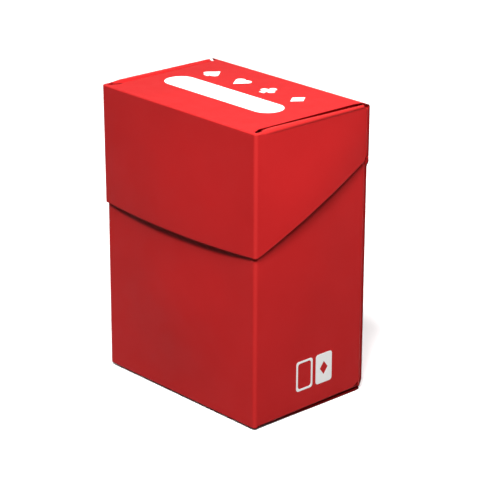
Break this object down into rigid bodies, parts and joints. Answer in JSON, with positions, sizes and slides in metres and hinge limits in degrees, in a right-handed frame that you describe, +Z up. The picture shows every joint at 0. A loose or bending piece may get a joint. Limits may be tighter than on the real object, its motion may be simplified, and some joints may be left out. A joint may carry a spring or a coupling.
{
  "type": "card deck box",
  "caption": "Flip-top folded plastic box for a deck of sleeved trading cards, with a hinged lid, slanted lid cheeks, a write-on field and a loose divider card.",
  "frame": {"origin": "middle of the closed box's footprint, on the surface that it stands on", "axes": "+X across the wide front towards the printed side, -Y out of the front, +Y out of the hinged back, +Z up"},
  "size_m": [0.0712, 0.0476, 0.0954],
  "materials": {
    "red_sheet": "satin",
    "white_print": "matte",
    "divider_sheet": "satin"
  },
  "bodies": {
    "body": {"body_front_panel": "red_sheet", "body_back_panel": "red_sheet", "body_bottom_panel": "red_sheet", "body_left_side": "red_sheet", "body_right_side": "red_sheet", "body_left_back_flap": "red_sheet", "body_right_back_flap": "red_sheet", "body_left_bottom_flap": "red_sheet", "body_right_bottom_flap": "red_sheet", "hinge_web": "red_sheet", "card_mark": "white_print"},
    "lid": {"lid_back_strip": "red_sheet", "lid_top_panel": "red_sheet", "lid_front_panel": "red_sheet", "lid_left_side": "red_sheet", "lid_right_side": "red_sheet", "lid_left_top_flap": "red_sheet", "lid_right_top_flap": "red_sheet", "lid_left_back_flap": "red_sheet", "lid_right_back_flap": "red_sheet", "label_field": "white_print", "suit_marks": "white_print"},
    "divider": {"deck_divider": "divider_sheet"}
  },
  "joints": [
    {"name": "lid_hinge", "type": "hinge", "parent": "body", "child": "lid", "pos_m": [0, 0.0238, 0.0784], "axis": [-1, 0, 0], "range_deg": [0, 175]},
    {"name": "divider_slide", "type": "slide", "parent": "body", "child": "divider", "axis": [0, -1, 0], "range_m": [0, 0.0433]}
  ]
}
